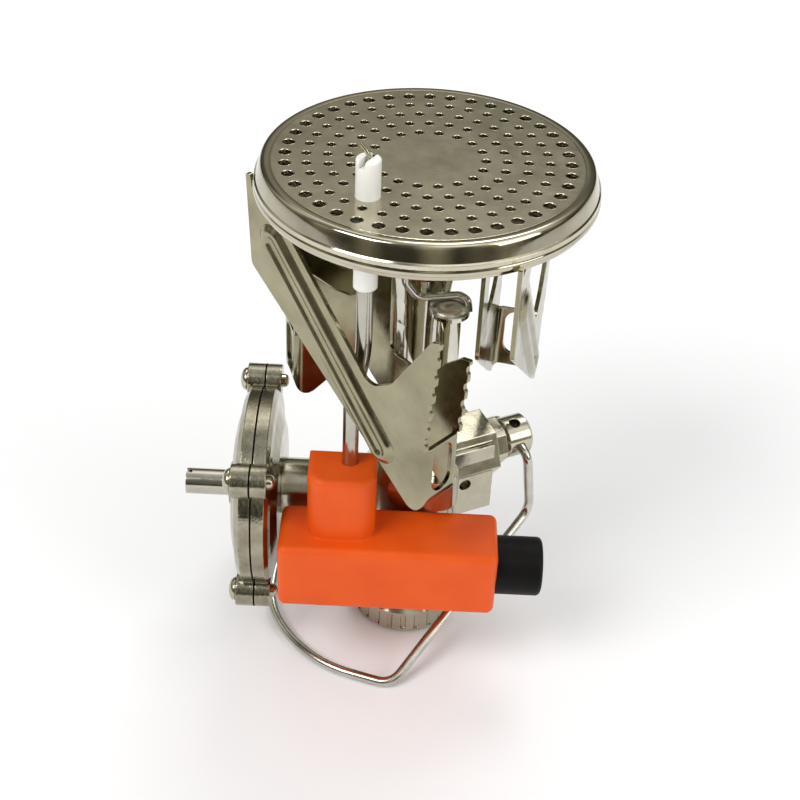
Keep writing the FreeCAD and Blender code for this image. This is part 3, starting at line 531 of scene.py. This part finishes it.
def make_beads(materials):
    """Pressed channel along the arm of each pot support: two round ridges that meet at its ends."""
    start = Vector(BEAD_START)
    end = Vector(BEAD_END)
    ahead = (end - start).normalized()
    side = Vector((-ahead.y, ahead.x))
    for name in "abc":
        outward, across, near = support_frame(name)
        shape = bmesh.new()
        loops = []
        for offset, height in BEAD_PROFILE:
            loop = []
            for centre, first in ((start, 90), (end, 270)):
                for i in range(BEAD_END_STEPS + 1):
                    a = math.radians(first + 180 * i / BEAD_END_STEPS)
                    spot = centre + (ahead * math.cos(a) + side * math.sin(a)) * offset
                    lift = near + (BEAD_STAND - height) * MM
                    loop.append(shape.verts.new(outward * spot.x * MM + across * lift
                                                + Vector((0, 0, spot.y * MM))))
            loops.append(loop)
        bridge(shape, loops)
        close_ends(shape, loops)
        mesh = finished(shape, "arm_channel_" + name)
        place(mesh, "arm_channel_" + name, "support_" + name, "support_steel", materials["support"])


def bent_route(points, bends):
    """Line through the points, with a soft bend of about the given radius at each inner one."""
    line = [points[0]]
    for before, corner, after, bend in zip(points, points[1:], points[2:], bends):
        run_in = corner - before
        run_out = after - corner
        half = run_in.angle(run_out) / 2
        reach = min(bend * math.tan(half), BEND_REACH * run_in.length, BEND_REACH * run_out.length)
        start = corner - run_in.normalized() * reach
        end = corner + run_out.normalized() * reach
        for i in range(BEND_STEPS + 1):
            t = i / BEND_STEPS
            line.append(start * (1 - t) ** 2 + corner * 2 * t * (1 - t) + end * t ** 2)
    line.append(points[-1])
    return line


def wire(name, line, radius, body, material):
    """Round wire along a line, all in millimetres, as a piece on one body."""
    data = bpy.data.curves.new(name, "CURVE")
    data.dimensions = "3D"
    data.bevel_depth = radius * MM
    data.bevel_resolution = WIRE_SIDES
    data.use_fill_caps = True
    spline = data.splines.new("POLY")
    spline.points.add(len(line) - 1)
    for knot, point in zip(spline.points, line):
        knot.co = (*(point * MM), 1)
    spline.use_smooth = True
    piece = add_object(name, data)
    data.materials.append(material)
    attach(piece, body)
    return piece


def make_handle(materials):
    """Drawn wire handle: crisp bends at its front corner, one sweep round the rear of the base."""
    joint = joint_named("valve_turn")
    turn = Vector(joint["axis"])
    cross = Vector(joint["pos_m"]) / MM + turn * HANDLE_CROSS
    side = Vector((turn.y, -turn.x, 0))
    loop = [Vector(point) for point in HANDLE_ROUTE]
    points = [cross + side * HANDLE_PIN, cross + side * HANDLE_OUT] + loop
    points += [cross - side * HANDLE_OUT, cross - side * HANDLE_PIN]
    piece = wire("handle_wire", bent_route(points, HANDLE_BENDS), HANDLE_RADIUS, "handle", materials["wire"])
    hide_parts("wire_handle")


def make_spark_wire(materials):
    """Thin end of the electrode, bent over the ceramic's notch."""
    low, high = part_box("electrode_ceramic")
    tip = Vector(((low[0] + high[0]) / 2, (low[1] + high[1]) / 2, high[2])) / MM
    points = [tip + Vector(step) for step in SPARK_STEPS]
    wire("spark_wire", bent_route(points, SPARK_BENDS), SPARK_RADIUS, "stove", materials["support"])


def make_retainer(materials):
    """End of the front hinge wire, bent down and across the head of the side post."""
    points = [Vector(point) for point in RETAINER_ROUTE]
    wire("retaining_wire", bent_route(points, RETAINER_BENDS), RETAINER_RADIUS, "stove", materials["wire"])


def make_post_dome(materials):
    """Domed screw head on top of the side post."""
    low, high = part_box("burner_post")
    middle = Vector(((low[0] + high[0]) / 2, (low[1] + high[1]) / 2, high[2]))
    reach = (high[0] - low[0]) / 2 / MM + DOME_OVERHANG
    outline = [(0.01, -0.5), (reach - 0.4, -0.8)]
    for i in range(DOME_STEPS + 1):
        a = math.radians(DOME_TOP_ANGLE * i / DOME_STEPS)
        outline.append((reach * math.cos(a), DOME_RISE * math.sin(a) - DOME_SINK))
    mesh = turned("post_dome", outline, [Matrix.Translation(middle)], DOME_SIDES)
    place(mesh, "post_dome", "stove", "stainless", materials["satin"])


def make_port_lips(materials):
    """Rolled lip of each flame port."""
    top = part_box("burner_cap")[1][2]
    low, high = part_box("electrode_ceramic")
    ceramic = (low + high) / 2
    for name, rings, hole in (("port_lips", PORT_RINGS[:-1], PORT_RADIUS),
                              ("outer_port_lips", PORT_RINGS[-1:], OUTER_PORT_RADIUS)):
        places = []
        for radius, count in rings:
            for i in range(count):
                spot = round_spot(radius, 2 * math.pi * i / count, top / MM) * MM
                away = math.hypot(spot.x - ceramic.x, spot.y - ceramic.y)
                if away > (high[0] - low[0]) / 2 + (hole + LIP_CLEARANCE) * MM:
                    places.append(Matrix.Translation(spot))
        outline = [(hole + out, rise) for out, rise in LIP_PROFILE]
        mesh = turned(name, outline, places, LIP_SIDES)
        place(mesh, name, "stove", "burner_steel", materials["skirt"])


def make_screws(materials):
    """Round-headed screws through the lugs of the regulator."""
    middle = (Vector(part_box("regulator_stud")[0]) + Vector(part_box("regulator_stud")[1])) / 2
    head, end = (corner[0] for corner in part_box("regulator_screws"))
    length = (end - head) / MM
    places = []
    for i in range(LUG_COUNT):
        a = math.radians(LUG_TURN + 360 * i / LUG_COUNT)
        spot = Vector((head, middle.y + LUG_AT * math.sin(a) * MM, middle.z + LUG_AT * math.cos(a) * MM))
        places.append(Matrix.Translation(spot) @ Matrix.Rotation(math.pi / 2, 4, "Y"))
    outline = SCREW_HEAD + [(1.2, length - 0.7), (1.0, length - 0.25), (0.5, length), (0.01, length)]
    mesh = turned("screw_heads", outline, places, SCREW_SIDES)
    piece = place(mesh, "screw_heads", "stove", "stainless", materials["turned"])
    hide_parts("regulator_screws")


def make_socket_thread(materials):
    """Screw thread inside the canister socket."""
    shape = bmesh.new()
    rows = []
    steps = int(THREAD_TURNS * THREAD_STEPS)
    for i in range(steps + 1):
        fade = min(1.0, i / THREAD_FADE, (steps - i) / THREAD_FADE)
        row = []
        for out, rise in THREAD_PROFILE:
            radius = THREAD_RADIUS + max(out, 0.0) - max(-out, 0.0) * fade
            height = THREAD_START + THREAD_PITCH * i / THREAD_STEPS + rise
            row.append(shape.verts.new(round_spot(radius, 2 * math.pi * i / THREAD_STEPS, height) * MM))
        rows.append(row)
    bridge(shape, rows)
    close_ends(shape, rows)
    mesh = finished(shape, "socket_thread")
    place(mesh, "socket_thread", "stove", "machined_aluminium", materials["turned"])


# ---- surroundings ---------------------------------------------------------------------------
def make_floor():
    """Plain pale floor that glows a little away from the stove, as a lit backdrop does."""
    bpy.ops.mesh.primitive_plane_add(size=FLOOR_SIZE, location=(0, 0, 0))
    floor = bpy.context.object
    floor.name = "floor"
    g = material_graph("pale_floor")
    g.set(base_color=(FLOOR_GREY, FLOOR_GREY, FLOOR_GREY, 1), roughness=0.6, emission_color=(1, 1, 1, 1))
    glow = g.span(g.distance(g.coords), 0.0, GLOW_MOST, GLOW_START, GLOW_END)
    g.link(glow, g.shader.inputs["Emission Strength"])
    floor.data.materials.append(g.owner)


def make_world():
    """Soft studio surround.  Polished metal sees it grade from olive dusk at the horizon to a bright
    ceiling, broken by tall dark and light screens; everything else is lit by an even pale sky."""
    world = bpy.data.worlds.new("studio")
    bpy.context.scene.world = world
    g = Graph(world, "Background", "Generated")
    glow = g.ramp(g.parts()["Z"], SKY_STOPS)
    blotches = g.noise(SCREEN_SCALE, 0.5, stretch=SCREEN_STRETCH)
    screens = g.span(blotches, SCREEN_DARK, SCREEN_LIGHT, 0.40, 0.60)
    scaled = g.add("ShaderNodeVectorMath", operation="SCALE")
    g.link(glow, scaled.inputs[0])
    g.link(screens, scaled.inputs["Scale"])
    mix = g.add("ShaderNodeMix", data_type="RGBA")
    g.link(g.add("ShaderNodeLightPath").outputs["Is Glossy Ray"], mix.inputs["Factor"])
    mix.inputs["A"].default_value = (SKY, SKY, SKY, 1)
    g.link(scaled.outputs["Vector"], mix.inputs["B"])
    g.link(mix.outputs["Result"], g.shader.inputs["Color"])
    g.set(strength=1.0)


def make_lights():
    """Square area lamps aimed at the stove: a large key from the upper left, a fill and a rim light."""
    for name, spot, size, power in LAMPS:
        data = bpy.data.lights.new(name, "AREA")
        data.size = size
        data.energy = power
        lamp = add_object(name, data)
        lamp.location = spot
        lamp.rotation_euler = (Vector(LAMP_AIM) - Vector(spot)).to_track_quat("-Z", "Y").to_euler()


def make_camera():
    """Camera at the fixed viewing place, turned to the stove's middle."""
    data = bpy.data.cameras.new("camera")
    data.lens = LENS
    data.sensor_width = SENSOR_WIDTH
    data.clip_start = NEAREST
    camera = add_object("camera", data)
    away = (VIEW_FROM - LOOK_AT).normalized()
    across = VIEW_UP.cross(away).normalized()
    up = away.cross(across)
    turn = Matrix((across, up, away)).transposed().to_4x4()
    camera.matrix_world = Matrix.Translation(VIEW_FROM) @ turn
    bpy.context.scene.camera = camera


# ---- the whole scene ------------------------------------------------------------------------
MATERIALS = make_materials()
finish_nodes(MATERIALS)
make_skirt(MATERIALS)
make_beads(MATERIALS)
make_handle(MATERIALS)
make_post_dome(MATERIALS)
make_port_lips(MATERIALS)
make_screws(MATERIALS)
make_spark_wire(MATERIALS)
make_retainer(MATERIALS)
make_socket_thread(MATERIALS)
make_floor()
make_world()
make_lights()
make_camera()
bpy.context.scene.view_settings.view_transform = "Standard"
